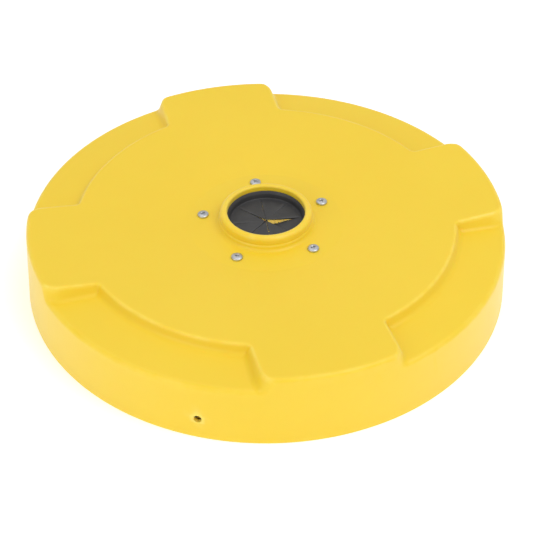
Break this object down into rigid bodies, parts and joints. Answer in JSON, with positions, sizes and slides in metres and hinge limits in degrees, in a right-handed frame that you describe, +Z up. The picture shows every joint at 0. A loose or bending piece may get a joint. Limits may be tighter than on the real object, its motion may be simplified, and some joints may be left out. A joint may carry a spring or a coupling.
{
  "type": "drum cover",
  "caption": "Round moulded drum cover with a deep skirt, a dished top with four raised arms, and a collared centre opening closed by a slit rubber port.",
  "frame": {"origin": "centre of the bottom rim, on the plane that the cover stands on", "axes": "+Z up along the cover's axis; the four raised arms lie along +X, -X, +Y and -Y"},
  "size_m": [0.635, 0.635, 0.098],
  "materials": {
    "yellow_polyethylene": "satin moulded polyethylene",
    "black_rubber": "matt sheet rubber",
    "zinc_plate": "zinc plated sheet",
    "zinc_screw": "bright zinc plated"
  },
  "bodies": {
    "cover": {"cover_shell": "yellow_polyethylene", "diaphragm_rim": "black_rubber", "clamp_ring": "zinc_plate", "screws": "zinc_screw", "washers": "zinc_screw", "lock_nuts": "zinc_screw"},
    "flap_1": {"flap_1": "black_rubber"},
    "flap_2": {"flap_2": "black_rubber"},
    "flap_3": {"flap_3": "black_rubber"},
    "flap_4": {"flap_4": "black_rubber"},
    "flap_5": {"flap_5": "black_rubber"},
    "flap_6": {"flap_6": "black_rubber"},
    "flap_7": {"flap_7": "black_rubber"},
    "flap_8": {"flap_8": "black_rubber"}
  },
  "joints": [
    {"name": "flap_1_bend", "type": "hinge", "parent": "cover", "child": "flap_1", "pos_m": [0.03968, 0.01175, 0.078], "axis": [0.284, -0.9588, 0], "range_deg": [-30, 75], "stiffness_Nm_per_rad": 0.04},
    {"name": "flap_2_bend", "type": "hinge", "parent": "cover", "child": "flap_2", "pos_m": [0.01975, 0.03637, 0.078], "axis": [0.8788, -0.4772, 0], "range_deg": [-30, 75], "stiffness_Nm_per_rad": 0.04},
    {"name": "flap_3_bend", "type": "hinge", "parent": "cover", "child": "flap_3", "pos_m": [-0.01175, 0.03968, 0.078], "axis": [0.9588, 0.284, 0], "range_deg": [-30, 75], "stiffness_Nm_per_rad": 0.04},
    {"name": "flap_4_bend", "type": "hinge", "parent": "cover", "child": "flap_4", "pos_m": [-0.03637, 0.01975, 0.078], "axis": [0.4772, 0.8788, 0], "range_deg": [-30, 75], "stiffness_Nm_per_rad": 0.04},
    {"name": "flap_5_bend", "type": "hinge", "parent": "cover", "child": "flap_5", "pos_m": [-0.03968, -0.01175, 0.078], "axis": [-0.284, 0.9588, 0], "range_deg": [-30, 75], "stiffness_Nm_per_rad": 0.04},
    {"name": "flap_6_bend", "type": "hinge", "parent": "cover", "child": "flap_6", "pos_m": [-0.01975, -0.03637, 0.078], "axis": [-0.8788, 0.4772, 0], "range_deg": [-30, 75], "stiffness_Nm_per_rad": 0.04},
    {"name": "flap_7_bend", "type": "hinge", "parent": "cover", "child": "flap_7", "pos_m": [0.01175, -0.03968, 0.078], "axis": [-0.9588, -0.284, 0], "range_deg": [-30, 75], "stiffness_Nm_per_rad": 0.04},
    {"name": "flap_8_bend", "type": "hinge", "parent": "cover", "child": "flap_8", "pos_m": [0.03637, -0.01975, 0.078], "axis": [-0.4772, -0.8788, 0], "range_deg": [-39, 66], "stiffness_Nm_per_rad": 0.04}
  ]
}
